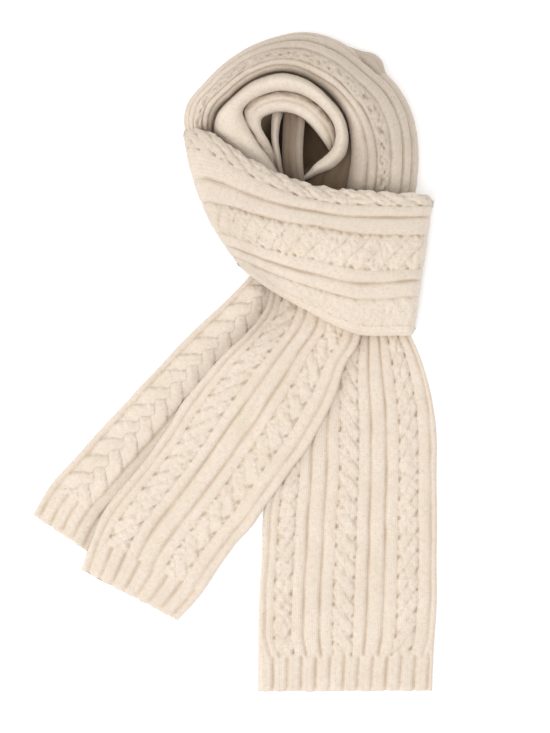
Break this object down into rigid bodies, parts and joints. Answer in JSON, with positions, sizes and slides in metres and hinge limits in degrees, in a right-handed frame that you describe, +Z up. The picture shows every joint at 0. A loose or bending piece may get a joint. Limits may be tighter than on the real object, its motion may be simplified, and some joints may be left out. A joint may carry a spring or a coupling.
{
  "type": "knit scarf",
  "caption": "Cream cable-knit wool scarf wound into a coil, with its two ribbed tails laid out flat.",
  "frame": {"origin": "middle of the scarf's footprint, on the surface that it lies on", "axes": "+Z up away from the surface, +Y from the hems towards the coil, +X to the right as the scarf is looked down on"},
  "size_m": [0.5042, 0.8217, 0.0722],
  "materials": {
    "wool": "brushed cream wool knit, matt with a soft nap",
    "wool_in_shade": "the same wool inside the coil, matt"
  },
  "bodies": {
    "root": {"right_tail": "wool", "right_tail_hem": "wool", "left_tail_front": "wool", "left_tail_front_hem": "wool", "left_tail_under": "wool", "left_tail_under_hem": "wool", "front_band": "wool", "outer_turn": "wool", "turn_corner": "wool", "middle_turn": "wool", "inner_turn": "wool", "centre_fold_left": "wool", "centre_fold_right": "wool", "lower_fold": "wool", "hidden_layers": "wool_in_shade"}
  },
  "joints": []
}
